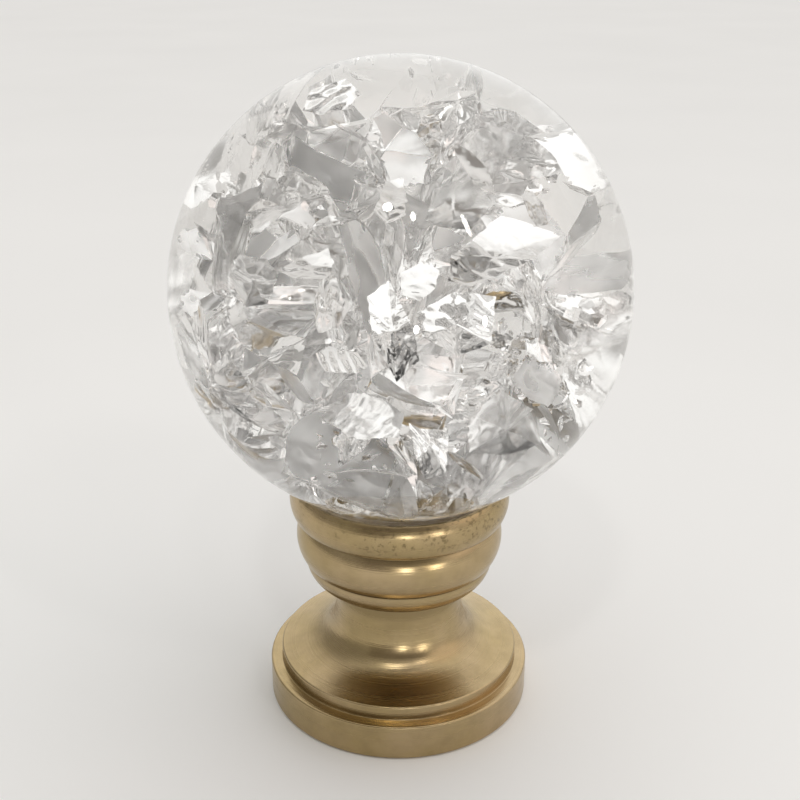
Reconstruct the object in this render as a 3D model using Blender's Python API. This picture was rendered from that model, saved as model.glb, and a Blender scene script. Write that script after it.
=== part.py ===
"""Lamp shade finial: a crackled clear glass ball seated in a turned brass base.

All sizes are in metres. The base stands on the plane z = 0 and everything is turned
round the Z axis. The threaded stud of a lamp harp screws into the bore in the underside.
"""

from math import asin, atan2, cos, hypot, pi, radians, sin, sqrt, tan

import bmesh
import bpy
from mathutils import Vector
from mathutils.geometry import interpolate_bezier

# Glass ball
BALL_DIAMETER = 0.0400
SEAT_GAP = 0.0003  # between the ball and its seat in the cup

# Foot and the step on top of it
FOOT_DIAMETER = 0.0250
FOOT_HEIGHT = 0.00355
FOOT_CHAMFER = 0.00025  # round the underside
STEP_INSET = 0.0011  # how far the step's side stands in from the foot's
STEP_HEIGHT = 0.00135
EDGE_ROUND = 0.00016  # radius of the turned edges of foot and step

# Bell: the hollow sweep that flares from the neck out to the step's edge
BELL_SHOULDER = 0.0002  # flat left between the step's edge and the bell
BELL_HEIGHT = 0.00645
BELL_HOLLOW = 0.0052  # how far the neck carries straight down into the sweep
BELL_FLARE = 0.0040  # how far the sweep runs nearly level before the shoulder
BELL_EDGE_SLOPE = radians(13.0)

# Neck
NECK_DIAMETER = 0.0119
NECK_HEIGHT = 0.0011

# Slanted ring above the neck
RING_LOWER_DIAMETER = 0.0148
RING_UPPER_DIAMETER = 0.0176
RING_HEIGHT = 0.0022
RING_SWELL = 0.00045

# Bead in the middle of the stack
BEAD_LOWER_DIAMETER = 0.0181
BEAD_UPPER_DIAMETER = 0.0182
BEAD_HEIGHT = 0.0040
BEAD_SWELL = 0.00058
FILLET_DEPTH = 0.00022  # narrow flat collar that tops the bead
FILLET_HEIGHT = 0.00016

# Cup that holds the ball
CUP_LOWER_DIAMETER = 0.01964
CUP_LIP_DIAMETER = 0.0195
CUP_HEIGHT = 0.0032
CUP_SWELL = 0.00044
LIP_WIDTH = 0.00025

# Turned grooves under the cup and under the bead
GROOVE_DEPTH = 0.0004
GROOVE_HEIGHT = 0.0002

# Blind bore for the harp's stud, cut to the full diameter of the thread
THREAD_DIAMETER = 0.00635
THREAD_CLEARANCE = 0.00005
BORE_DEPTH = 0.0095
BORE_CHAMFER = 0.0004
DRILL_POINT_ANGLE = radians(118.0)

# Fineness of the curved surfaces
BASE_SEGMENTS = 54
BALL_SEGMENTS = 44
BALL_RINGS = 22
SEAT_STEPS = 8
SWELL_STEPS = 6
BEAD_STEPS = 8
BELL_STEPS = 13
EDGE_STEPS = 2
SMOOTH_ANGLE = radians(28.0)
MERGE_DISTANCE = 0.000001

# Finishes
BRASS_COLOUR = (0.62, 0.46, 0.25)
BRASS_ROUGHNESS = 0.32
GLASS_COLOUR = (0.93, 0.93, 0.91)
GLASS_ROUGHNESS = 0.03

# Heights of the stack, from the underside up
STEP_BASE = FOOT_HEIGHT
STEP_TOP = STEP_BASE + STEP_HEIGHT
NECK_BASE = STEP_TOP + BELL_HEIGHT
RING_BASE = NECK_BASE + NECK_HEIGHT
RING_TOP = RING_BASE + RING_HEIGHT
BEAD_BASE = RING_TOP + GROOVE_HEIGHT
BEAD_TOP = BEAD_BASE + BEAD_HEIGHT
CUP_BASE = BEAD_TOP + FILLET_HEIGHT + GROOVE_HEIGHT
LIP_HEIGHT = CUP_BASE + CUP_HEIGHT

# The ball rests concentric with its seat, which ends at the lip's inner edge
BALL_RADIUS = BALL_DIAMETER / 2
SEAT_RADIUS = BALL_RADIUS + SEAT_GAP
LIP_INNER_RADIUS = CUP_LIP_DIAMETER / 2 - LIP_WIDTH
BALL_HEIGHT = LIP_HEIGHT + sqrt(SEAT_RADIUS**2 - LIP_INNER_RADIUS**2)


def clear_scene():
    for item in list(bpy.data.objects):
        bpy.data.objects.remove(item, do_unlink=True)


def swelling(upper, lower, rise, steps):
    """Arc from the upper point to the lower, standing rise proud of the straight line."""
    chord = hypot(upper[0] - lower[0], upper[1] - lower[1])
    radius = (chord**2 / 4 + rise**2) / (2 * rise)
    half_angle = asin(chord / 2 / radius)
    lean = atan2(upper[0] - lower[0], upper[1] - lower[1])
    middle = ((upper[0] + lower[0]) / 2, (upper[1] + lower[1]) / 2)
    back = radius - rise
    centre = (middle[0] - back * cos(lean), middle[1] + back * sin(lean))
    turns = [half_angle - 2 * half_angle * step / steps for step in range(steps + 1)]
    return [
        (centre[0] + radius * cos(turn - lean), centre[1] + radius * sin(turn - lean))
        for turn in turns
    ]


def rounded_edge(radius, height):
    """Quarter round where a flat top at this height meets an upright side at this radius."""
    turns = [pi / 2 * (1 - step / EDGE_STEPS) for step in range(EDGE_STEPS + 1)]
    return [
        (radius - EDGE_ROUND * (1 - cos(turn)), height - EDGE_ROUND * (1 - sin(turn)))
        for turn in turns
    ]


def seat_outline():
    """Dished seat, from the axis out to the inner edge of the lip."""
    reach = asin(LIP_INNER_RADIUS / SEAT_RADIUS)
    turns = [reach * step / SEAT_STEPS for step in range(SEAT_STEPS + 1)]
    return [
        (SEAT_RADIUS * sin(turn), BALL_HEIGHT - SEAT_RADIUS * cos(turn)) for turn in turns
    ]


def cup_outline():
    """Lip and swelling side of the cup, down to the groove under it."""
    lip = (CUP_LIP_DIAMETER / 2, LIP_HEIGHT)
    foot = (CUP_LOWER_DIAMETER / 2, CUP_BASE)
    collar_radius = BEAD_UPPER_DIAMETER / 2 + FILLET_DEPTH
    floor = min(foot[0], collar_radius) - GROOVE_DEPTH
    groove = [(floor, CUP_BASE), (floor, CUP_BASE - GROOVE_HEIGHT)]
    return swelling(lip, foot, CUP_SWELL, SWELL_STEPS) + groove


def bead_outline():
    """Narrow collar, round bead and the groove under it."""
    upper = (BEAD_UPPER_DIAMETER / 2, BEAD_TOP)
    lower = (BEAD_LOWER_DIAMETER / 2, BEAD_BASE)
    collar_radius = upper[0] + FILLET_DEPTH
    collar = [(collar_radius, BEAD_TOP + FILLET_HEIGHT), (collar_radius, BEAD_TOP)]
    floor = min(lower[0], RING_UPPER_DIAMETER / 2) - GROOVE_DEPTH
    groove = [(floor, BEAD_BASE), (floor, RING_TOP)]
    return collar + swelling(upper, lower, BEAD_SWELL, BEAD_STEPS) + groove


def ring_outline():
    """Slanted ring, which overhangs the neck."""
    upper = (RING_UPPER_DIAMETER / 2, RING_TOP)
    lower = (RING_LOWER_DIAMETER / 2, RING_BASE)
    return swelling(upper, lower, RING_SWELL, SWELL_STEPS)


def bell_outline():
    """Upright neck and the hollow sweep from it out to the step's shoulder."""
    neck = Vector((NECK_DIAMETER / 2, NECK_BASE))
    edge = Vector((step_radius() - BELL_SHOULDER, STEP_TOP))
    neck_handle = neck + Vector((0.0, -BELL_HOLLOW))
    edge_handle = edge + BELL_FLARE * Vector((-cos(BELL_EDGE_SLOPE), sin(BELL_EDGE_SLOPE)))
    sweep = interpolate_bezier(neck, neck_handle, edge_handle, edge, BELL_STEPS)
    return [(neck.x, RING_BASE)] + [(point.x, point.y) for point in sweep]


def step_radius():
    return FOOT_DIAMETER / 2 - STEP_INSET


def foot_outline():
    """Step, foot and the flat underside in to the mouth of the bore."""
    foot_radius = FOOT_DIAMETER / 2
    mouth_radius = bore_radius() + BORE_CHAMFER
    return [
        *rounded_edge(step_radius(), STEP_TOP),
        (step_radius(), STEP_BASE),
        *rounded_edge(foot_radius, FOOT_HEIGHT),
        (foot_radius, FOOT_CHAMFER),
        (foot_radius - FOOT_CHAMFER, 0.0),
        (mouth_radius, 0.0),
    ]


def bore_radius():
    return THREAD_DIAMETER / 2 + THREAD_CLEARANCE


def bore_outline():
    """Chamfered mouth, straight wall and the drill's point."""
    tip = bore_radius() / tan(DRILL_POINT_ANGLE / 2)
    return [
        (bore_radius(), BORE_CHAMFER),
        (bore_radius(), BORE_DEPTH),
        (0.0, BORE_DEPTH + tip),
    ]


def ball_outline():
    """Half circle from the top of the ball to its bottom, about its own centre."""
    turns = [pi * step / BALL_RINGS for step in range(BALL_RINGS + 1)]
    return [(abs(BALL_RADIUS * sin(turn)), BALL_RADIUS * cos(turn)) for turn in turns]


def make_material(name, colour, roughness, metallic, transmission=0.0):
    material = bpy.data.materials.new(name)
    material.use_nodes = True
    shader = material.node_tree.nodes["Principled BSDF"]
    shader.inputs["Base Color"].default_value = (*colour, 1.0)
    shader.inputs["Roughness"].default_value = roughness
    shader.inputs["Metallic"].default_value = metallic
    shader.inputs["Transmission Weight"].default_value = transmission
    return material


def turned(name, outline, segments, material, height=0.0):
    """Spins an outline of (radius, height) points round the Z axis into a closed body."""
    shape = bmesh.new()
    points = [shape.verts.new((radius, 0.0, level)) for radius, level in outline]
    edges = [shape.edges.new(pair) for pair in zip(points, points[1:])]
    bmesh.ops.spin(
        shape,
        geom=points + edges,
        cent=(0.0, 0.0, 0.0),
        axis=(0.0, 0.0, 1.0),
        angle=2 * pi,
        steps=segments,
        use_merge=True,
    )
    bmesh.ops.remove_doubles(shape, verts=shape.verts, dist=MERGE_DISTANCE)
    bmesh.ops.recalc_face_normals(shape, faces=shape.faces)
    mesh = bpy.data.meshes.new(name)
    shape.to_mesh(mesh)
    shape.free()
    mesh.shade_smooth()
    mesh.set_sharp_from_angle(angle=SMOOTH_ANGLE)
    mesh.materials.append(material)
    piece = bpy.data.objects.new(name, mesh)
    piece.location.z = height
    bpy.context.scene.collection.objects.link(piece)
    return piece


def make_brass_base():
    outline = (
        seat_outline()
        + cup_outline()
        + bead_outline()
        + ring_outline()
        + bell_outline()
        + foot_outline()
        + bore_outline()
    )
    brass = make_material("brass", BRASS_COLOUR, BRASS_ROUGHNESS, metallic=1.0)
    return turned("brass_base", outline, BASE_SEGMENTS, brass)


def make_glass_ball():
    glass = make_material(
        "crackled_glass", GLASS_COLOUR, GLASS_ROUGHNESS, metallic=0.0, transmission=1.0
    )
    return turned("glass_ball", ball_outline(), BALL_SEGMENTS, glass, BALL_HEIGHT)


clear_scene()
make_brass_base()
make_glass_ball()
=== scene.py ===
import math
import random

import bpy
import numpy as np
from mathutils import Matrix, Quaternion, Vector


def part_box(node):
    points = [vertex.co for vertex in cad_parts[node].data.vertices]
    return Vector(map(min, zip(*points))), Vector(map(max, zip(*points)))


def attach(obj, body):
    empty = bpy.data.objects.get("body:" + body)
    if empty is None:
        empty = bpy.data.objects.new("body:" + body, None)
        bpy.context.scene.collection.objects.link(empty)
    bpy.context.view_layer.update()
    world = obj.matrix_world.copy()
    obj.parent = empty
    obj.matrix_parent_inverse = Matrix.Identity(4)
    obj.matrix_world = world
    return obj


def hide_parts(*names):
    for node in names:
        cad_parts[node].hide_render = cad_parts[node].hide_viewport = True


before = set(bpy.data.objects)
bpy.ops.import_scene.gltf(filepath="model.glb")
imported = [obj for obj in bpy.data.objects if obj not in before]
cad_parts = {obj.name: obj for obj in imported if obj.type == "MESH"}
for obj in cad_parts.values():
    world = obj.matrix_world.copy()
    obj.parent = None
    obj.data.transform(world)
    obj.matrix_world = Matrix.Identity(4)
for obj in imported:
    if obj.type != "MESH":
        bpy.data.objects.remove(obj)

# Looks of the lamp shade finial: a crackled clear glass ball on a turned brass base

MM = 0.001
SAME_PLACE = 0.0001 * MM
ODD_DIRECTION = (0.31, 0.52, 0.79)  # along no axis; where flat_axes starts from

# Camera, solved from the outline of the ball and the foot in the photo
CAMERA_LENS = 54.0
SENSOR_WIDTH = 36.0
CAMERA_CLIP = 5.0 * MM
CAMERA_ELEVATION = math.radians(22.9)
CAMERA_DISTANCE = 108.5 * MM
CAMERA_AIM = Vector((0.0, 0.0, 30.12 * MM))
CAMERA_ROLL = math.radians(0.35)

# Turned base
BASE_SEGMENTS = 192
OUTLINE_STEP = 0.16 * MM
CORNER_TURN = math.radians(17.0)
SOFTENED_TURN = math.radians(6.0)
SHARP_TURN = math.radians(50.0)
UNEVEN_STEPS = 2.5
CORNER_ROUND = 0.06 * MM
CORNER_SHARE = 0.45  # the most of an edge that its rounded end takes
CORNER_STEPS = 3

# Thread in the bore: the wall is the long upright part of the outline near the axis
BORE_ZONE = 4.0 * MM
BORE_WALL_LENGTH = 3.0 * MM
THREAD_PITCH = 25.4 * MM / 27
THREAD_CREST = 0.5 * MM
THREAD_FADE = 0.7 * MM
THREAD_STEP = THREAD_PITCH / 12
THREAD_SLOPE = 1.35  # over 1, so that the crests are cut flat
THREAD_ROOT = 0.12  # so that the roots are flat too

# Dirt, tarnish and painted shade of the base, by height
GROOVE_ZONE = 13.0 * MM
GROOVE_TURN = math.radians(40.0)
DIRT_REACH = 0.26 * MM
DIRT_CORE = 0.2  # share of that reach where the dirt is full
DIRT_SHARE = 0.6
# Painted shade: a darker band on the neck under the ring, where the ring's shadow and dark reflection
# fall
NECK_PAINTED_SHADE = (10.4 * MM, 12.6 * MM)
NECK_PAINTED_SHADE_EDGE = 0.7 * MM
NECK_PAINTED_SHADE_SHARE = 0.6
SPECK_ZONE = (17.5 * MM, 21.5 * MM)
HAZE_SHARE = 0.32

# Brass, from its browner to its paler tone, clean and darkened; the darker tones serve both the stains
# and the painted shade under the ring
CLEAN_BRASS = ((0.430, 0.326, 0.164), (0.492, 0.374, 0.218))
STAINED_AND_SHADED_BRASS = ((0.18, 0.135, 0.065), (0.28, 0.21, 0.11))
BRASS_ROUGHNESS = (0.15, 0.35)
BRASS_STREAKING = 0.5
LATHE_LINE_HEIGHT = 0.022 * MM
LATHE_LINE_STRENGTH = 0.5

# Noise patterns, as scale, detail and roughness, and the values between which each takes hold
WARMTH_NOISE = (130.0, 4.0, 0.6)
WARMTH_EDGES = (0.35, 0.65)
STAIN_AND_SHADE_NOISE = (300.0, 2.0, 0.5)
STAIN_AND_SHADE_EDGES = (0.0, 1.0)
SPECK_NOISE = (2600.0, 3.0, 0.6)
SPECK_EDGES = (0.51, 0.64)
PATCH_NOISE = (210.0, 4.0, 0.65)
PATCH_EDGES = (0.38, 0.54)
HAZE_NOISE = (420.0, 4.0, 0.7)
HAZE_EDGES = (0.35, 0.75)
LATHE_NOISE = (4200.0, 4.0, 0.65)

# Ball
BALL_SEGMENTS = 192
BALL_RINGS = 96
GLASS_IOR = 1.5
BALL_GLASS = (0.92, 0.912, 0.897)
CRACK_GLASS = (1.0, 1.0, 1.0)

# Surfaces of the glass: roughness, then scale and height of the faint ripples
BALL_SURFACE = (0.0, 90.0, 0.01 * MM)
CLEAR_SURFACE = (0.035, 500.0, 0.01 * MM)
SOFT_SURFACE = (0.12, 300.0, 0.005 * MM)
MILKY_SURFACE = (0.34, 300.0, 0.005 * MM)
RIPPLE_DETAIL = 1.0

# Cracks in the ball: thin gaps of air, so the steep ones mirror and the rest let light through
CRACK_SEED = 41
CRACK_ZONE = 13.5 * MM
CRACK_REACH = 15.8 * MM
LOW_ZONE = 2.8 * MM  # how much further out the cracks lie at the ball's bottom
LOW_SEED_SHARE = 0.4
CRACK_STEPS = {"clear": 0.39 * MM, "soft": 0.41 * MM, "milky": 0.50 * MM}
CRACK_KINDS = {"clear": 0.42, "soft": 0.36, "milky": 0.22}
CRACK_GAP = 0.012 * MM
CRACK_SHRINK = 0.965
CRACK_SHARE = 0.66
RIM_ANGLE = math.radians(70.0)

# Fragments that the ball is shattered into
SEED_TRIES = 60
FRAGMENTS = 135
WALL_SPACING = 3.4 * MM
WALL_REACH = 12.0 * MM
NEIGHBOURS = 27
CLUSTERS = 16
CLUSTER_FRAGMENTS = 10
CLUSTER_ZONE = (7.0 * MM, 12.0 * MM)
CLUSTER_SPREAD = 1.0 * MM
OUTER_FRAGMENTS = 110
OUTER_ZONE = (17.2 * MM, 18.2 * MM)
OUTER_SPACING = 3.5 * MM

# Waves that shape the cracks: how many, how long and how high. Each one's length varies
WAVE_LENGTHS = (0.75, 1.3)
FINE_RIPPLES = (4, 1.4 * MM, 0.006 * MM)
RIPPLES = (4, 2.6 * MM, 0.022 * MM)
FOLDS = (6, 1.5 * MM, 0.026 * MM)
CREASES = (5, 3.6 * MM, 0.16 * MM)
BENDS = (5, 12.0 * MM, 0.8 * MM)

# Splinters in clusters
FLAKE_CLUSTERS = 64
FLAKES = 16
FLAKE_SIDES = 5
FLAKE_UNEVENNESS = 0.3
FLAKE_SPREAD = 0.9 * MM
FLAKE_SPOTS = (6.0 * MM, 13.5 * MM)
FLAKE_ZONE = 14.0 * MM
FLAKE_SIZES = (0.18 * MM, 0.55 * MM)

# Facets that show at chosen places
PLACED_STEP = 0.26 * MM
PLACED_SIDES = 6
PLACED_UNEVENNESS = 0.25
PLACED_REACHES = (0.75, 1.2)
PLACED_DEPTHS = (1.5 * MM, 14.0 * MM)
CLEARANCE = 0.9 * MM
PATH_OVERRUN = 0.8 * MM
PATH_SHARES = (0.3, 0.7)  # paths end between a facet's middle and its corners
MIRRORED_REACH = 0.8  # how far a mirrored path stays clear, as a share of the ball's radius
MIRROR_FACING = (0.20, 0.735)  # cosine of the slant it is seen at; to 0.745 it mirrors all light
MIRROR_TRIES = 6000
MIRROR_SPREAD = 0.4
FINE_TRIES = 600
FINE_SPREAD = 0.05
BOW_LIMIT = 90.0

# Large facets near the front, placed by share of the ball's radius across and up its face:
# across, up, length, width, lean in degrees, how deep behind the surface in mm
BRIGHT_FACETS = [
    (0.40, 0.15, 0.58, 0.24, 24.0, 5.0),
    (-0.04, -0.14, 0.24, 0.46, 15.0, 4.6),
    (0.24, -0.14, 0.38, 0.30, 25.0, 4.4),
    (0.08, 0.04, 0.24, 0.16, 30.0, 5.4),
    (-0.40, 0.10, 0.26, 0.13, 5.0, 4.0),
    (-0.30, 0.82, 0.26, 0.14, 20.0, 3.0),
    (-0.04, 0.38, 0.20, 0.16, 70.0, 5.0),
    (0.14, -0.66, 0.16, 0.36, 15.0, 5.0),
    (-0.20, -0.62, 0.30, 0.16, 60.0, 5.0),
]
DARK_FACETS = [
    (-0.32, -0.06, 0.16, 0.26, 5.0, 4.0),
    (-0.26, -0.30, 0.30, 0.14, -15.0, 4.5),
    (0.13, 0.70, 0.12, 0.20, 10.0, 4.0),
    (-0.66, 0.34, 0.24, 0.14, 15.0, 3.5),
    (0.58, 0.36, 0.10, 0.20, 30.0, 4.0),
    (0.30, 0.55, 0.30, 0.08, -50.0, 5.0),
]
GREY_FACETS = [
    (0.24, 0.36, 0.30, 0.24, 10.0, 6.0),
    (-0.14, -0.54, 0.40, 0.26, 5.0, 6.0),
    (0.46, -0.60, 0.36, 0.30, 40.0, 4.5),
    (-0.64, 0.04, 0.24, 0.26, 60.0, 4.0),
]

# Room light: tones, then places as azimuth and elevation, then spreads, all angles in degrees
ROOM_LOW = (0.70, 0.69, 0.67)
ROOM_HIGH = (1.26, 1.25, 1.225)
ROOM_FRONT = (0.50, 0.49, 0.468)
ROOM_VIEWER = (0.235, 0.213, 0.193)
WINDOW_RIGHT = (1.15, 1.05, 1.0)
WALL_LEFT = (0.36, 0.349, 0.329)
SKYLIGHT = (1.28, 1.28, 1.26)
WINDOW_RIGHT_PLACE = (78.0, 30.0)
WALL_LEFT_PLACE = (-98.0, 20.0)
SKYLIGHT_PLACE = (172.0, 22.0)
VIEWER_PLACE = (2.0, 9.0)
FAR_WALL_PLACE = (-140.0, 50.0)
WINDOW_RIGHT_SPREAD = (12.0, 34.0)
WALL_LEFT_SPREAD = (18.0, 55.0)
SKYLIGHT_SPREAD = (6.0, 37.0)

# Where the room changes tone, along a direction's x, y or z. A third value softens both edges
ROOM_RISE = (0.1, 0.9)
FRONT_EDGES = (0.1, -0.5)
VIEWER_FRONT = (-0.35, -0.65)
VIEWER_ACROSS = (-0.70, 0.62, 0.05)
VIEWER_UPRIGHT = (-0.6, 0.60, 0.04)

LAMP_WHITE = (1.0, 0.99, 0.97)
LAMP_WARM = (1.0, 0.95, 0.90)
LAMP_DISTANCE = 0.5
LIGHT_TURNS = 20

FLOOR_REACH = 3.0
FLOOR_DIVISIONS = 24
FLOOR_TONES = ((0.91, 0.91, 0.905), (0.93, 0.93, 0.925))
FLOOR_NOISE = (14.0, 2.0, 0.5)
FLOOR_EDGES = (0.3, 0.7)
FLOOR_ROUGHNESS = 0.9
FLOOR_SHEEN = 0.1

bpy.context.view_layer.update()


# Mesh helpers

def add_object(name, points, faces, material):
    """A smooth shaded piece made of these points and faces."""
    mesh = bpy.data.meshes.new(name)
    mesh.from_pydata([tuple(point) for point in points], [], faces)
    mesh.validate()
    mesh.shade_smooth()
    mesh.materials.append(material)
    piece = bpy.data.objects.new(name, mesh)
    bpy.context.scene.collection.objects.link(piece)
    return piece


def turned_faces(rings, segments):
    """Faces of a turned body: a top point, rings of points below it and a last point."""
    end = 1 + rings * segments
    last = end - segments
    faces = []
    for segment in range(segments):
        onward = (segment + 1) % segments
        faces.append((0, 1 + segment, 1 + onward))
        for ring in range(rings - 1):
            a = 1 + ring * segments
            b = a + segments
            faces.append((a + segment, b + segment, b + onward, a + onward))
        faces.append((last + segment, end, last + onward))
    return faces


# Turned base

def outline_of(node):
    """The (radius, height) points of a turned node, followed from its top on the axis."""
    def key(vertex):
        return (round(vertex.co.x, 7), round(vertex.co.z, 7))

    on_plane = {
        vertex.index: key(vertex)
        for vertex in node.data.vertices
        if abs(vertex.co.y) < SAME_PLACE and vertex.co.x > -SAME_PLACE
    }
    links = {}
    for edge in node.data.edges:
        a, b = (on_plane.get(index) for index in edge.vertices)
        if a and b and a != b:
            links.setdefault(a, set()).add(b)
            links.setdefault(b, set()).add(a)
    start = max((point for point in links if point[0] == 0.0), key=lambda point: point[1])
    path = [start]
    while True:
        onward = [point for point in links[path[-1]] if point not in path]
        if not onward:
            return [np.array(point) for point in path]
        path.append(onward[0])


def turn_at(before, point, after):
    """Angle by which the outline turns at a point."""
    a = point - before
    b = after - point
    return abs(math.atan2(a[0] * b[1] - a[1] * b[0], a @ b))


def smooth_run(run, step):
    """Points along a smooth curve through those of the run, about a step apart."""
    if len(run) == 2:
        return run
    along = np.concatenate([[0.0], np.cumsum([np.linalg.norm(b - a) for a, b in zip(run, run[1:])])])
    points = np.array(run)
    slopes = np.gradient(points, along, axis=0, edge_order=2)
    made = [points[0]]
    for index in range(len(run) - 1):
        length = along[index + 1] - along[index]
        count = max(1, math.ceil(length / step))
        for part in range(1, count + 1):
            t = part / count
            made.append(
                (2 * t**3 - 3 * t**2 + 1) * points[index]
                + (t**3 - 2 * t**2 + t) * length * slopes[index]
                + (3 * t**2 - 2 * t**3) * points[index + 1]
                + (t**3 - t**2) * length * slopes[index + 1]
            )
    return made


def is_corner(before, point, after):
    """True where the outline turns sharply, or where a curve ends in a straight part."""
    lengths = sorted((np.linalg.norm(before - point), np.linalg.norm(after - point)))
    return turn_at(before, point, after) > CORNER_TURN or lengths[1] > UNEVEN_STEPS * lengths[0]


def rounded_corner(before, point, after):
    """A small curve in place of a sharp point of the outline."""
    reach = min(CORNER_ROUND, *(CORNER_SHARE * np.linalg.norm(end - point) for end in (before, after)))
    enter = point + (before - point) / np.linalg.norm(before - point) * reach
    leave = point + (after - point) / np.linalg.norm(after - point) * reach
    shares = [part / CORNER_STEPS for part in range(CORNER_STEPS + 1)]
    return [(1 - t) ** 2 * enter + 2 * t * (1 - t) * point + t * t * leave for t in shares]


def refined(outline):
    """The outline with its curved runs made smooth and its corners slightly rounded."""
    corners = [0]
    for index in range(1, len(outline) - 1):
        if is_corner(*outline[index - 1 : index + 2]):
            corners.append(index)
    corners.append(len(outline) - 1)
    made = [outline[0]]
    for first, last in zip(corners, corners[1:]):
        made += smooth_run(outline[first : last + 1], OUTLINE_STEP)[1:]
    softened = [made[0]]
    for before, point, after in zip(made, made[1:], made[2:]):
        if turn_at(before, point, after) < SOFTENED_TURN:
            softened.append(point)
        else:
            softened += rounded_corner(before, point, after)
    softened.append(made[-1])
    return softened


def with_bore_steps(outline):
    """The outline with the long straight wall of the bore divided finely for the thread."""
    made = [outline[0]]
    for before, point in zip(outline, outline[1:]):
        length = np.linalg.norm(point - before)
        upright = abs(point[0] - before[0]) < SAME_PLACE and length > BORE_WALL_LENGTH
        count = math.ceil(length / THREAD_STEP) if upright else 1
        made += [before + (point - before) * part / count for part in range(1, count + 1)]
    return made


def thread_height(angle, height, low, high):
    """How far the thread stands in from the bore's wall here: a right-handed helix."""
    phase = (height / THREAD_PITCH - angle / (2 * math.pi)) % 1.0
    crest = min(1.0, max(0.0, THREAD_SLOPE * (1 - abs(2 * phase - 1)) - THREAD_ROOT))
    fade = min(1.0, max(0.0, (height - low) / THREAD_FADE), max(0.0, (high - height) / THREAD_FADE))
    return THREAD_CREST * crest * fade


def groove_heights(outline):
    """Heights of the inner corners of the turned profile, where dirt gathers."""
    found = []
    for before, point, after in zip(outline, outline[1:], outline[2:]):
        a = point - before
        b = after - point
        hollow = a[0] * b[1] - a[1] * b[0] > 0
        if point[1] > GROOVE_ZONE and hollow and turn_at(before, point, after) > GROOVE_TURN:
            found.append(float(point[1]))
    return found


def bore_wall(outline):
    """Radius of the bore and the heights between which its wall runs."""
    wall = [
        after
        for before, after in zip(outline, outline[1:])
        if abs(before[0] - after[0]) < SAME_PLACE and after[0] < BORE_ZONE
    ]
    heights = [point[1] for point in wall]
    return wall[0][0], min(heights), max(heights)


def build_base():
    """The turned base, spun from the node's own outline, with the thread cut in its bore."""
    profile = outline_of(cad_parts["brass_base"])
    outline = with_bore_steps(refined(profile))
    bore_radius, low, high = bore_wall(outline)
    points = [(0.0, 0.0, outline[0][1])]
    for radius, height in outline[1:-1]:
        threaded = abs(radius - bore_radius) < SAME_PLACE
        for segment in range(BASE_SEGMENTS):
            angle = 2 * math.pi * segment / BASE_SEGMENTS
            reach = radius - (thread_height(angle, height, low, high) if threaded else 0.0)
            points.append((reach * math.cos(angle), reach * math.sin(angle), height))
    points.append((0.0, 0.0, outline[-1][1]))
    faces = turned_faces(len(outline) - 2, BASE_SEGMENTS)
    piece = add_object("turned_brass_base", points, faces, brass_material(groove_heights(profile)))
    piece.data.set_sharp_from_angle(angle=SHARP_TURN)
    return piece


# Ball

def build_ball(material):
    """The ball, as fine rings round the middle of its node."""
    low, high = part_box("glass_ball")
    centre = (Vector(low) + Vector(high)) / 2
    radius = (high[2] - low[2]) / 2
    points = [centre + Vector((0, 0, radius))]
    for ring in range(1, BALL_RINGS):
        down = math.pi * ring / BALL_RINGS
        side = radius * math.sin(down)
        rise = radius * math.cos(down)
        for segment in range(BALL_SEGMENTS):
            angle = 2 * math.pi * segment / BALL_SEGMENTS
            points.append(centre + Vector((side * math.cos(angle), side * math.sin(angle), rise)))
    points.append(centre - Vector((0, 0, radius)))
    faces = turned_faces(BALL_RINGS - 1, BALL_SEGMENTS)
    return add_object("clear_glass_ball", points, faces, material)


def ball_centre_and_radius():
    low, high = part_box("glass_ball")
    centre = (np.array(low) + np.array(high)) / 2
    return centre, (high[2] - low[2]) / 2


# Directions and chance

def unit(vector):
    """The vector brought to a length of one."""
    vector = np.array(vector, dtype=float)
    return vector / np.linalg.norm(vector)


def flat_axes(normal):
    """Two directions at right angles in the plane with this normal."""
    side = unit(np.cross(normal, ODD_DIRECTION))
    return side, np.cross(normal, side)


def scattered(chance, spread):
    """A random step whose length is about the spread."""
    return np.array([chance.gauss(0, spread) for _ in range(3)])


def sphere_directions(count):
    """Directions spread evenly over a sphere."""
    order = np.arange(count)
    turn = order * math.pi * (3 - math.sqrt(5))
    height = 1 - 2 * (order + 0.5) / count
    side = np.sqrt(1 - height**2)
    return np.stack([side * np.cos(turn), side * np.sin(turn), height], axis=1)


def spaced_seeds(chance, count, inner, outer, spacing):
    """Random points between two radii, each at least a spacing from the others."""
    seeds = []
    for _ in range(count * SEED_TRIES):
        point = np.array([chance.uniform(-outer, outer) for _ in range(3)])
        reach = np.linalg.norm(point)
        if inner <= reach <= outer and all(np.linalg.norm(point - s) > spacing for s in seeds):
            seeds.append(point)
        if len(seeds) == count:
            break
    return seeds


# Cracks: the walls between the fragments that the ball is shattered into

def clipped(polygon, point, normal):
    """The part of a flat polygon on the near side of a plane."""
    made = []
    sides = [(corner - point) @ normal for corner in polygon]
    for index, corner in enumerate(polygon):
        after = (index + 1) % len(polygon)
        if sides[index] <= 0:
            made.append(corner)
        if (sides[index] < 0) != (sides[after] < 0):
            share = sides[index] / (sides[index] - sides[after])
            made.append(corner + share * (polygon[after] - corner))
    return made


def wall_between(seeds, first, second, near):
    """Polygon and normal of the wall between two seeds, cut back by the seeds near the first."""
    normal = seeds[second] - seeds[first]
    normal /= np.linalg.norm(normal)
    middle = (seeds[second] + seeds[first]) / 2
    side, across = flat_axes(normal)
    square = ((-1, -1), (1, -1), (1, 1), (-1, 1))
    polygon = [middle + WALL_REACH * (a * side + b * across) for a, b in square]
    for third in near:
        if third == second:
            continue
        polygon = clipped(polygon, (seeds[third] + seeds[first]) / 2, seeds[third] - seeds[first])
        if len(polygon) < 3:
            break
    return polygon, normal


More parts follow.
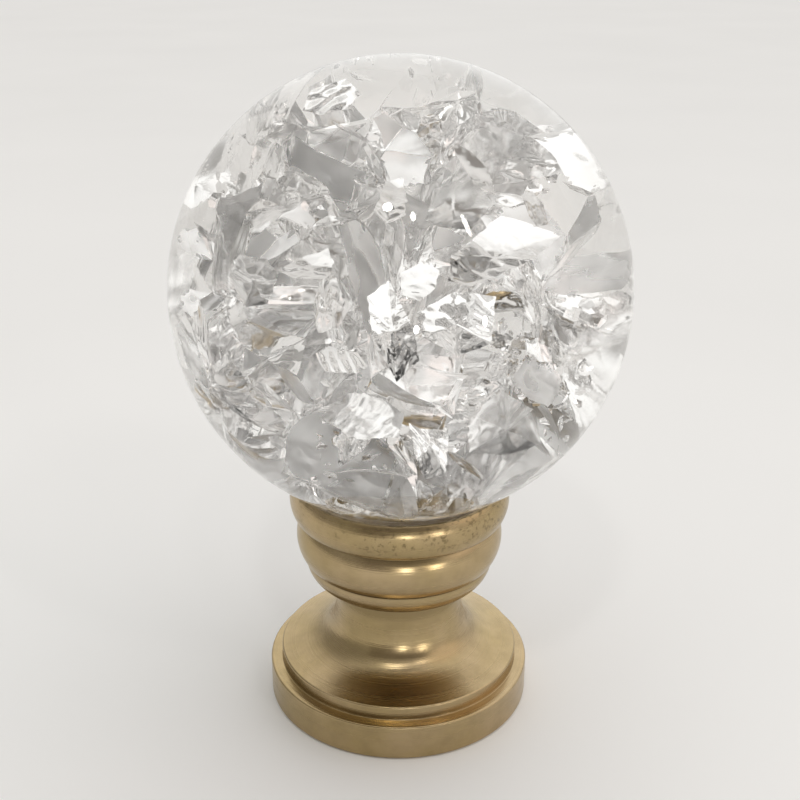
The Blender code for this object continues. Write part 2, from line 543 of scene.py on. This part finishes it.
def fragment_walls(seeds):
    """The flat walls between neighbouring seeds, as (polygon, normal)."""
    seeds = np.array(seeds)
    walls = []
    for index, seed in enumerate(seeds):
        near = np.argsort(np.linalg.norm(seeds - seed, axis=1))[1 : NEIGHBOURS + 1]
        for other in near:
            if other < index:
                continue
            polygon, normal = wall_between(seeds, index, other, near)
            if len(polygon) >= 3:
                walls.append((polygon, normal))
    return walls


def fragment_seeds(chance):
    """Middles of the fragments: an even spread, some tight clusters and an outer shell."""
    seeds = spaced_seeds(chance, FRAGMENTS, 0.0, CRACK_ZONE + LOW_SEED_SHARE * LOW_ZONE, WALL_SPACING)
    for _ in range(CLUSTERS):
        spot = spaced_seeds(chance, 1, *CLUSTER_ZONE, WALL_SPACING)[0]
        seeds += [spot + scattered(chance, CLUSTER_SPREAD) for _ in range(CLUSTER_FRAGMENTS)]
    return seeds + spaced_seeds(chance, OUTER_FRAGMENTS, *OUTER_ZONE, OUTER_SPACING)


def wave_field(chance, count, length, height, folded=False):
    """Waves as (direction over length, phase, push); folded ones are creased, not round."""
    waves = []
    for _ in range(count):
        along = scattered(chance, 1)
        push = scattered(chance, 1)
        along *= 2 * math.pi / (np.linalg.norm(along) * length * chance.uniform(*WAVE_LENGTHS))
        push *= height / np.linalg.norm(push)
        waves.append((along, chance.uniform(0, 2 * math.pi), push, folded))
    return waves


def crack_waves(chance):
    """Ripples, folds, creases and wide bends."""
    ripples = wave_field(chance, *FINE_RIPPLES) + wave_field(chance, *RIPPLES)
    folds = wave_field(chance, *FOLDS, folded=True)
    creases = wave_field(chance, *CREASES, folded=True)
    bends = wave_field(chance, *BENDS)
    return ripples, folds, creases, bends


def bent(points, waves):
    """The points pushed about by the waves; equal points move alike, so walls still meet."""
    moved = points.copy()
    for along, phase, push, folded in waves:
        swing = np.sin(points @ along + phase)
        if folded:
            swing = np.arcsin(swing) * 2 / math.pi
        moved += np.outer(swing, push)
    return moved


def rim_of(polygon, middle, step):
    """Points round the edge of a crack, about a step apart."""
    corners = [middle + CRACK_SHRINK * (corner - middle) for corner in polygon]
    rim = []
    for a, b in zip(corners, corners[1:] + corners[:1]):
        count = max(1, round(np.linalg.norm(b - a) / step))
        rim += [a + (b - a) * part / count for part in range(count)]
    return np.array(rim)


def gap_points(middle, normal, rim, rings):
    """Points of a thin gap: each side from its middle outwards, then the rim they share."""
    parts = []
    for side in (1, -1):
        parts.append(np.array([middle + side * normal * CRACK_GAP]))
        for ring in range(1, rings):
            share = ring / rings
            gap = CRACK_GAP * math.sqrt(1 - share**2)
            parts.append(middle + share * (rim - middle) + side * normal * gap)
    return np.concatenate([*parts, rim])


def gap_faces(first, around, rings):
    """Faces of a thin gap, turned to the air in it. Its points begin at the number first."""
    per_side = 1 + (rings - 1) * around
    edge = first + 2 * per_side
    faces = []
    for side in (0, 1):
        start = first + side * per_side
        ring_starts = [start + 1 + (ring - 1) * around for ring in range(1, rings)] + [edge]
        for index in range(around):
            onward = (index + 1) % around
            made = [(start, ring_starts[0] + index, ring_starts[0] + onward)]
            for inner, outer in zip(ring_starts, ring_starts[1:]):
                made.append((inner + index, outer + index, outer + onward, inner + onward))
            faces += made if side else [face[::-1] for face in made]
    return faces


class CrackMesh:
    """Collects thin closed gaps of air into one piece."""

    def __init__(self):
        self.points = []
        self.faces = []
        self.count = 0

    def add(self, polygon, normal, centre, waves, step, bow=None):
        """Adds the gap over one flat polygon, bowed and then bent by the waves."""
        middle = sum(polygon) / len(polygon)
        rim = rim_of(polygon, middle, step)
        rings = max(2, round(np.linalg.norm(rim - middle, axis=1).max() / step))
        points = gap_points(middle, normal, rim, rings)
        if bow:
            points = bow(points)
        self.points.append(centre + bent(points, waves))
        self.faces += gap_faces(self.count, len(rim), rings)
        self.count += len(points)

    def build(self, name, material):
        piece = add_object(name, np.concatenate(self.points), self.faces, material)
        piece.data.set_sharp_from_angle(angle=RIM_ANGLE)
        return piece


# Facets that show at chosen places

def refracted(ways, normals, ratio):
    """Directions after the surface, and where light gets through it at all."""
    across = -np.sum(ways * normals, axis=-1, keepdims=True)
    inside = 1 - ratio**2 * (1 - across**2)
    bent_ways = ratio * ways + (ratio * across - np.sqrt(np.clip(inside, 0, None))) * normals
    return bent_ways, inside[..., 0] > 0


def view_into_ball(across, up):
    """Where the camera's ray to this place on the ball's face enters, and its way inside."""
    centre, radius = ball_centre_and_radius()
    eye = np.array(bpy.context.scene.camera.location)
    towards = unit(centre - eye)
    right = np.array([1.0, 0.0, 0.0])
    above = np.cross(right, towards)
    way = unit(centre + radius * (across * right + up * above) - eye)
    middle = (centre - eye) @ way
    enter = eye + way * (middle - math.sqrt(radius**2 - (centre - eye) @ (centre - eye) + middle**2))
    return enter, refracted(way, unit(enter - centre), 1 / GLASS_IOR)[0]


def best_mirror(normals, point, way, wanted):
    """The one of these normals that mirrors the wanted side of the room to the camera best."""
    centre, radius = ball_centre_and_radius()
    facing = -normals @ way
    in_reach = (facing > MIRROR_FACING[0]) & (facing < MIRROR_FACING[1])
    mirrored = way + 2 * facing[:, None] * normals
    start = point - centre
    ahead = mirrored @ start
    leave = start + mirrored * (-ahead + np.sqrt(ahead**2 - start @ start + radius**2))[:, None]
    out, through = refracted(mirrored, -leave / radius, GLASS_IOR)
    match = out @ unit(wanted)
    match[~(through & in_reach)] = -1
    return normals[match.argmax()]


def directions_near(way, spread, count):
    """Directions round a given one."""
    ways = way + spread * sphere_directions(count)
    return ways / np.linalg.norm(ways, axis=1)[:, None]


def mirror_normal(point, way, wanted, near=None):
    """The way to face a crack here so that it mirrors the wanted side of the room."""
    if near is None:
        tried = sphere_directions(MIRROR_TRIES)
    else:
        tried = directions_near(near, MIRROR_SPREAD, MIRROR_TRIES)
    best = best_mirror(tried, point, way, wanted)
    return best_mirror(directions_near(best, FINE_SPREAD, FINE_TRIES), point, way, wanted)


def bowed(middle, normal, samples):
    """A bend, as a function of points, that gives a flat facet the sampled normals."""
    side, across = flat_axes(normal)
    rows = []
    slopes = []
    for point, wanted in samples:
        x = (point - middle) @ side
        y = (point - middle) @ across
        rows += [(x, y, 0.0), (0.0, x, y)]
        slopes += [-(wanted @ side) / (wanted @ normal), -(wanted @ across) / (wanted @ normal)]
    curve = np.linalg.lstsq(np.array(rows), np.array(slopes), rcond=None)[0]
    curve = np.clip(curve, -BOW_LIMIT, BOW_LIMIT)

    def bow(points):
        x = (points - middle) @ side
        y = (points - middle) @ across
        lift = curve[0] * x**2 / 2 + curve[1] * x * y + curve[2] * y**2 / 2
        return points + lift[:, None] * normal

    return bow


def facet_shape(chance, place):
    """Uneven polygon of a facet on the ball's face, as shares of its radius across and up."""
    across, up, length, width, lean, _ = place
    lean = math.radians(lean)
    shape = []
    for index in range(PLACED_SIDES):
        step = index + chance.uniform(-PLACED_UNEVENNESS, PLACED_UNEVENNESS)
        turn = 2 * math.pi * step / PLACED_SIDES
        reach = chance.uniform(*PLACED_REACHES)
        a = length / 2 * reach * math.cos(turn)
        b = width / 2 * reach * math.sin(turn)
        shape.append((
            across + a * math.cos(lean) - b * math.sin(lean),
            up + a * math.sin(lean) + b * math.cos(lean),
        ))
    return shape


def placed_facet(chance, place, wanted):
    """Polygon, normal and bend of one facet, and the paths that its light takes.

    The camera's ray is followed into the ball. The facet is faced and bowed so that it sends
    the light of the wanted side of the room back along that ray.
    """
    centre, radius = ball_centre_and_radius()
    enter, way = view_into_ball(*place[:2])
    point = enter + way * place[-1] * MM
    normal = mirror_normal(point, way, wanted)
    corners = []
    samples = []
    paths = [(enter - centre, point - centre)]
    for spot in facet_shape(chance, place):
        corner_enter, corner_way = view_into_ball(*spot)
        ahead = ((point - corner_enter) @ normal) / (corner_way @ normal)
        ahead = min(max(ahead, PLACED_DEPTHS[0]), PLACED_DEPTHS[1])
        corner = corner_enter + corner_way * ahead - centre
        samples.append((corner, mirror_normal(corner + centre, corner_way, wanted, near=normal)))
        corners.append(corner)
        path_end = PATH_SHARES[0] * (point - centre) + PATH_SHARES[1] * corner
        paths.append((corner_enter - centre, path_end))
    mirrored = way - 2 * (way @ normal) * normal
    paths += [(end, end + mirrored * radius * MIRRORED_REACH) for _, end in paths]
    return corners, normal, bowed(point - centre, normal, samples), paths


def blocks_light(points, paths):
    """True where a crack through these points would stand in the way of a placed facet."""
    starts = np.array([start for start, _ in paths])
    spans = np.array([end for _, end in paths]) - starts
    lengths = np.linalg.norm(spans, axis=1)
    ways = spans / lengths[:, None]
    for point in points:
        ahead = np.clip(np.sum((point - starts) * ways, axis=1), 0, lengths + PATH_OVERRUN)
        if np.linalg.norm(point - starts - ahead[:, None] * ways, axis=1).min() < CLEARANCE:
            return True
    return False


# All cracks

def mesh_name(kind, middle):
    """The clear cracks are the most, so they are shared between a front and a back piece."""
    if kind == "clear":
        return "clear_front" if middle[1] < 0 else "clear_back"
    return kind


def add_placed_facets(chance, meshes, centre, waves):
    """Adds the facets at chosen places. Gives the paths of light that are to stay clear."""
    paths = []
    for places, wanted, kind in (
        (BRIGHT_FACETS, SKYLIGHT_PLACE, "clear"),
        (DARK_FACETS, VIEWER_PLACE, "clear"),
        (GREY_FACETS, FAR_WALL_PLACE, "soft"),
    ):
        for place in places:
            polygon, normal, bow, facet_paths = placed_facet(chance, place, room_side(*wanted))
            name = mesh_name(kind, sum(polygon) / len(polygon))
            meshes[name].add(polygon, normal, centre, waves, PLACED_STEP, bow)
            seen = len(facet_paths) if places is BRIGHT_FACETS else len(polygon) + 1
            paths += facet_paths[:seen]
    return paths


def add_walls(chance, meshes, centre, waves, paths):
    """Adds most walls between the fragments, apart from those that block a facet's light."""
    for polygon, normal in fragment_walls(fragment_seeds(chance)):
        middle = sum(polygon) / len(polygon)
        reach = max(np.linalg.norm(point) for point in polygon)
        low = LOW_ZONE * max(0.0, -middle[2] / np.linalg.norm(middle))
        if np.linalg.norm(middle) > CRACK_ZONE + low or reach > CRACK_REACH + low:
            continue
        if blocks_light(polygon + [middle], paths) or chance.random() > CRACK_SHARE:
            continue
        kind = chance.choices(list(CRACK_KINDS), list(CRACK_KINDS.values()))[0]
        meshes[mesh_name(kind, middle)].add(polygon, normal, centre, waves, CRACK_STEPS[kind])


def add_flakes(chance, meshes, centre, waves, paths):
    """Small splinters in clusters, which glint among the larger cracks."""
    for _ in range(FLAKE_CLUSTERS):
        spot = spaced_seeds(chance, 1, *FLAKE_SPOTS, WALL_SPACING)[0]
        for _ in range(FLAKES):
            middle = spot + scattered(chance, FLAKE_SPREAD)
            if np.linalg.norm(middle) > FLAKE_ZONE or blocks_light([middle], paths):
                continue
            normal = unit(scattered(chance, 1))
            side, across = flat_axes(normal)
            size = chance.uniform(*FLAKE_SIZES)
            polygon = []
            for index in range(FLAKE_SIDES):
                step = index + chance.uniform(-FLAKE_UNEVENNESS, FLAKE_UNEVENNESS)
                turn = 2 * math.pi * step / FLAKE_SIDES
                polygon.append(middle + size * (math.cos(turn) * side + math.sin(turn) * across))
            meshes[mesh_name("clear", middle)].add(polygon, normal, centre, waves, CRACK_STEPS["clear"])


def build_cracks(materials):
    """One piece for each finish of crack, all inside the ball."""
    chance = random.Random(CRACK_SEED)
    centre, _ = ball_centre_and_radius()
    ripples, folds, creases, bends = crack_waves(chance)
    meshes = {kind: CrackMesh() for kind in materials}
    paths = add_placed_facets(chance, meshes, centre, ripples + folds)
    add_walls(chance, meshes, centre, bends + creases + ripples + folds, paths)
    add_flakes(chance, meshes, centre, ripples, paths)
    return [mesh.build("glass_cracks_" + kind, materials[kind]) for kind, mesh in meshes.items()]


# Node helpers

def new_material(name):
    """A material with its nodes, its links and its main shader."""
    material = bpy.data.materials.new(name)
    material.use_nodes = True
    nodes = material.node_tree.nodes
    return material, nodes, material.node_tree.links, nodes["Principled BSDF"]


def noise_node(nodes, links, vector, scale, detail, roughness=0.5, dimensions="3D"):
    node = nodes.new("ShaderNodeTexNoise")
    node.noise_dimensions = dimensions
    node.inputs["Scale"].default_value = scale
    node.inputs["Detail"].default_value = detail
    node.inputs["Roughness"].default_value = roughness
    links.new(vector, node.inputs["Vector"])
    return node.outputs["Fac"]


def ramp_node(nodes, links, value, edges, colours):
    """The first colour up to the first edge, the second colour from the second edge on."""
    node = nodes.new("ShaderNodeValToRGB")
    for element, place, colour in zip(node.color_ramp.elements, edges, colours):
        element.position = place
        element.color = (*colour, 1.0)
    links.new(value, node.inputs["Fac"])
    return node.outputs["Color"]


def ramp_value(nodes, links, value, start, end):
    """0 at the start value, 1 at the end value, smooth in between."""
    node = nodes.new("ShaderNodeMapRange")
    node.interpolation_type = "SMOOTHSTEP"
    links.new(value, node.inputs["Value"])
    node.inputs["From Min"].default_value = start
    node.inputs["From Max"].default_value = end
    return node.outputs["Result"]


def math_node(nodes, links, operation, first, second=None):
    """Arithmetic on one or two values, where the second may be a plain number."""
    node = nodes.new("ShaderNodeMath")
    node.operation = operation
    links.new(first, node.inputs[0])
    if isinstance(second, (int, float)):
        node.inputs[1].default_value = second
    elif second is not None:
        links.new(second, node.inputs[1])
    return node.outputs["Value"]


def smooth_band(nodes, links, value, low, high, softness):
    """1 between the two limits and 0 outside them, with soft edges."""
    rise = ramp_value(nodes, links, value, low - softness, low + softness)
    fall = ramp_value(nodes, links, value, high + softness, high - softness)
    return math_node(nodes, links, "MULTIPLY", rise, fall)


def plain_colour(nodes, colour):
    node = nodes.new("ShaderNodeRGB")
    node.outputs["Color"].default_value = (*colour, 1.0)
    return node.outputs["Color"]


def mixed(nodes, links, share, a, b):
    """Colour a where the share is 0, colour b where it is 1."""
    node = nodes.new("ShaderNodeMix")
    node.data_type = "RGBA"
    links.new(share, node.inputs["Factor"])
    links.new(a, node.inputs["A"])
    links.new(b, node.inputs["B"])
    return node.outputs["Result"]


def bump_node(nodes, links, height, strength, distance):
    node = nodes.new("ShaderNodeBump")
    node.inputs["Strength"].default_value = strength
    node.inputs["Distance"].default_value = distance
    links.new(height, node.inputs["Height"])
    return node.outputs["Normal"]


# Materials

def turned_coordinates(nodes, links, place):
    """(radius, height) as a vector, which makes a pattern of rings round the axis."""
    split = nodes.new("ShaderNodeSeparateXYZ")
    links.new(place, split.inputs["Vector"])
    flat = nodes.new("ShaderNodeCombineXYZ")
    links.new(split.outputs["X"], flat.inputs["X"])
    links.new(split.outputs["Y"], flat.inputs["Y"])
    length = nodes.new("ShaderNodeVectorMath")
    length.operation = "LENGTH"
    links.new(flat.outputs["Vector"], length.inputs[0])
    ring = nodes.new("ShaderNodeCombineXYZ")
    links.new(length.outputs["Value"], ring.inputs["X"])
    links.new(split.outputs["Z"], ring.inputs["Y"])
    return split.outputs["Z"], ring.outputs["Vector"]


def brass_stain_and_shade(nodes, links, place, height, grooves):
    """Share of darkening: stain specks near the cup, a haze all over, painted shade on the neck under
    the ring, dirt in the grooves.
    """
    specks = ramp_value(nodes, links, noise_node(nodes, links, place, *SPECK_NOISE), *SPECK_EDGES)
    patches = ramp_value(nodes, links, noise_node(nodes, links, place, *PATCH_NOISE), *PATCH_EDGES)
    specks = math_node(nodes, links, "MULTIPLY", specks, patches)
    stain_and_shade = math_node(nodes, links, "MULTIPLY", specks, ramp_value(nodes, links, height, *SPECK_ZONE))
    haze = ramp_value(nodes, links, noise_node(nodes, links, place, *HAZE_NOISE), *HAZE_EDGES)
    # painted shade: the neck under the ring darkened in place of the ring's shadow
    neck_painted_shade = smooth_band(nodes, links, height, *NECK_PAINTED_SHADE, NECK_PAINTED_SHADE_EDGE)
    layers = [(haze, HAZE_SHARE), (neck_painted_shade, NECK_PAINTED_SHADE_SHARE)]
    for groove in grooves:
        away = math_node(nodes, links, "ABSOLUTE", math_node(nodes, links, "SUBTRACT", height, groove))
        dirt = ramp_value(nodes, links, away, DIRT_REACH, DIRT_CORE * DIRT_REACH)
        layers.append((dirt, DIRT_SHARE))
    for layer, share in layers:
        layer = math_node(nodes, links, "MULTIPLY", layer, share)
        stain_and_shade = math_node(nodes, links, "MAXIMUM", stain_and_shade, layer)
    return stain_and_shade


def brass_material(grooves):
    """Aged satin brass: turned lines, uneven tarnish, dark specks, dirt in the grooves and painted
    shade on the neck under the ring.
    """
    material, nodes, links, shader = new_material("aged_turned_brass_and_painted_shade")
    place = nodes.new("ShaderNodeTexCoord").outputs["Object"]
    height, ring = turned_coordinates(nodes, links, place)
    warmth = noise_node(nodes, links, place, *WARMTH_NOISE)
    clean = ramp_node(nodes, links, warmth, WARMTH_EDGES, CLEAN_BRASS)
    depth = noise_node(nodes, links, place, *STAIN_AND_SHADE_NOISE)
    stained_and_shaded = ramp_node(nodes, links, depth, STAIN_AND_SHADE_EDGES, STAINED_AND_SHADED_BRASS)
    # the darker tone paints the stains and also the shade on the neck under the ring
    stain_and_shade = brass_stain_and_shade(nodes, links, place, height, grooves)
    links.new(mixed(nodes, links, stain_and_shade, clean, stained_and_shaded), shader.inputs["Base Color"])
    shader.inputs["Metallic"].default_value = 1.0
    shader.inputs["Anisotropic"].default_value = BRASS_STREAKING
    tangent = nodes.new("ShaderNodeTangent")
    tangent.direction_type = "RADIAL"
    tangent.axis = "Z"
    links.new(tangent.outputs["Tangent"], shader.inputs["Tangent"])
    lathe = noise_node(nodes, links, ring, *LATHE_NOISE, "2D")
    rough = nodes.new("ShaderNodeMapRange")
    links.new(lathe, rough.inputs["Value"])
    rough.inputs["To Min"].default_value = BRASS_ROUGHNESS[0]
    rough.inputs["To Max"].default_value = BRASS_ROUGHNESS[1]
    links.new(rough.outputs["Result"], shader.inputs["Roughness"])
    bump = bump_node(nodes, links, lathe, LATHE_LINE_STRENGTH, LATHE_LINE_HEIGHT)
    links.new(bump, shader.inputs["Normal"])
    return material


def glass_material(name, colour, roughness, ripple_scale, ripple_height):
    """Clear glass by plain values, with faint ripples in its surface."""
    material, nodes, links, shader = new_material(name)
    shader.inputs["Base Color"].default_value = (*colour, 1.0)
    shader.inputs["Roughness"].default_value = roughness
    shader.inputs["IOR"].default_value = GLASS_IOR
    shader.inputs["Transmission Weight"].default_value = 1.0
    place = nodes.new("ShaderNodeTexCoord").outputs["Object"]
    ripple = noise_node(nodes, links, place, ripple_scale, RIPPLE_DETAIL)
    links.new(bump_node(nodes, links, ripple, 1.0, ripple_height), shader.inputs["Normal"])
    return material


def crack_finishes():
    """The finishes of the cracks, by the name of the piece that each is for."""
    return {
        "clear_front": glass_material("crack_in_glass", CRACK_GLASS, *CLEAR_SURFACE),
        "clear_back": glass_material("far_crack_in_glass", CRACK_GLASS, *CLEAR_SURFACE),
        "soft": glass_material("soft_crack_in_glass", CRACK_GLASS, *SOFT_SURFACE),
        "milky": glass_material("milky_crack_in_glass", CRACK_GLASS, *MILKY_SURFACE),
    }


def floor_material():
    material, nodes, links, shader = new_material("pale_floor")
    place = nodes.new("ShaderNodeTexCoord").outputs["Object"]
    mottle = noise_node(nodes, links, place, *FLOOR_NOISE)
    links.new(ramp_node(nodes, links, mottle, FLOOR_EDGES, FLOOR_TONES), shader.inputs["Base Color"])
    shader.inputs["Roughness"].default_value = FLOOR_ROUGHNESS
    shader.inputs["Specular IOR Level"].default_value = FLOOR_SHEEN
    return material


# Studio

def add_camera():
    """Camera at the angle of the photo."""
    data = bpy.data.cameras.new("camera")
    data.lens = CAMERA_LENS
    data.sensor_width = SENSOR_WIDTH
    data.clip_start = CAMERA_CLIP
    camera = bpy.data.objects.new("camera", data)
    back = Vector((0.0, -math.cos(CAMERA_ELEVATION), math.sin(CAMERA_ELEVATION)))
    camera.location = CAMERA_AIM + back * CAMERA_DISTANCE
    facing = (-back).to_track_quat("-Z", "Y")
    camera.rotation_euler = (facing @ Quaternion((0.0, 0.0, 1.0), CAMERA_ROLL)).to_euler()
    bpy.context.scene.collection.objects.link(camera)
    bpy.context.scene.camera = camera


def room_side(azimuth, elevation):
    """Direction out into the room. Azimuth 0 is the camera's side, positive to the right."""
    turn = math.radians(azimuth)
    lift = math.radians(elevation)
    return Vector((math.sin(turn) * math.cos(lift), -math.cos(turn) * math.cos(lift), math.sin(lift)))


def add_glow(nodes, links, direction, side, spread, colour, before):
    """Adds a soft-edged window or wall to the room: full at its middle, gone at its spread."""
    facing = nodes.new("ShaderNodeVectorMath")
    facing.operation = "DOT_PRODUCT"
    links.new(direction, facing.inputs[0])
    facing.inputs[1].default_value = room_side(*side)
    inner, outer = (math.cos(math.radians(angle)) for angle in spread)
    share = ramp_value(nodes, links, facing.outputs["Value"], outer, inner)
    return mixed(nodes, links, share, before, plain_colour(nodes, colour))


def viewer_zone(nodes, links, split):
    """Share of the dark side of the room, where the viewer stands in front of the finial."""
    front = ramp_value(nodes, links, split.outputs["Y"], *VIEWER_FRONT)
    across = smooth_band(nodes, links, split.outputs["X"], *VIEWER_ACROSS)
    upright = smooth_band(nodes, links, split.outputs["Z"], *VIEWER_UPRIGHT)
    zone = math_node(nodes, links, "MULTIPLY", front, across)
    return math_node(nodes, links, "MULTIPLY", zone, upright)


def add_room():
    """Soft grey room, lighter overhead and dimmer in front, with two windows and a dim wall."""
    world = bpy.data.worlds.new("soft_room")
    world.use_nodes = True
    nodes = world.node_tree.nodes
    links = world.node_tree.links
    direction = nodes.new("ShaderNodeTexCoord").outputs["Generated"]
    split = nodes.new("ShaderNodeSeparateXYZ")
    links.new(direction, split.inputs["Vector"])
    tone = ramp_node(nodes, links, split.outputs["Z"], ROOM_RISE, (ROOM_LOW, ROOM_HIGH))
    front_share = ramp_value(nodes, links, split.outputs["Y"], *FRONT_EDGES)
    tone = mixed(nodes, links, front_share, tone, plain_colour(nodes, ROOM_FRONT))
    for place, spread, colour in (
        (WINDOW_RIGHT_PLACE, WINDOW_RIGHT_SPREAD, WINDOW_RIGHT),
        (WALL_LEFT_PLACE, WALL_LEFT_SPREAD, WALL_LEFT),
        (SKYLIGHT_PLACE, SKYLIGHT_SPREAD, SKYLIGHT),
    ):
        tone = add_glow(nodes, links, direction, place, spread, colour, tone)
    dark = viewer_zone(nodes, links, split)
    tone = mixed(nodes, links, dark, tone, plain_colour(nodes, ROOM_VIEWER))
    links.new(tone, nodes["Background"].inputs["Color"])
    bpy.context.scene.world = world


def add_lamp(name, azimuth, elevation, width, height, power, colour):
    """A small soft lamp that faces the finial."""
    data = bpy.data.lights.new(name, "AREA")
    data.shape = "ELLIPSE"
    data.size = width
    data.size_y = height
    data.energy = power
    data.color = colour
    light = bpy.data.objects.new(name, data)
    out = room_side(azimuth, elevation)
    light.location = CAMERA_AIM + out * LAMP_DISTANCE
    light.rotation_euler = (-out).to_track_quat("-Z", "Y").to_euler()
    bpy.context.scene.collection.objects.link(light)


def add_lamps():
    """Azimuth and elevation in degrees, width and height in metres, power in watts."""
    add_lamp("lamp_low_front", 7.0, 2.0, 0.022, 0.034, 0.17, LAMP_WHITE)
    add_lamp("lamp_low_right", 38.0, 3.0, 0.020, 0.045, 0.17, LAMP_WARM)
    add_lamp("lamp_high_left", -10.0, 56.0, 0.036, 0.036, 0.14, LAMP_WHITE)
    add_lamp("lamp_high_front", 8.0, 52.0, 0.020, 0.036, 0.05, LAMP_WHITE)
    add_lamp("lamp_high_right", 40.0, 44.0, 0.020, 0.090, 0.10, LAMP_WARM)


def add_floor():
    steps = [FLOOR_REACH * (2 * part / FLOOR_DIVISIONS - 1) for part in range(FLOOR_DIVISIONS + 1)]
    points = [(x, y, 0.0) for y in steps for x in steps]
    row = len(steps)
    faces = [
        (a + b * row, a + 1 + b * row, a + 1 + (b + 1) * row, a + (b + 1) * row)
        for b in range(FLOOR_DIVISIONS)
        for a in range(FLOOR_DIVISIONS)
    ]
    floor = add_object("pale_floor", points, faces, floor_material())


def set_light_paths():
    """Glass full of cracks needs light to be followed through many turns."""
    cycles = bpy.context.scene.cycles
    cycles.max_bounces = LIGHT_TURNS
    cycles.transmission_bounces = LIGHT_TURNS
    cycles.glossy_bounces = LIGHT_TURNS
    bpy.context.scene.view_settings.view_transform = "Standard"


add_camera()
add_lamps()
add_room()
add_floor()
set_light_paths()

base = build_base()
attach(base, "root")
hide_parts("brass_base")

ball = build_ball(glass_material("clear_glass", BALL_GLASS, *BALL_SURFACE))
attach(ball, "root")
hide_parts("glass_ball")

for crack in build_cracks(crack_finishes()):
    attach(crack, "root")
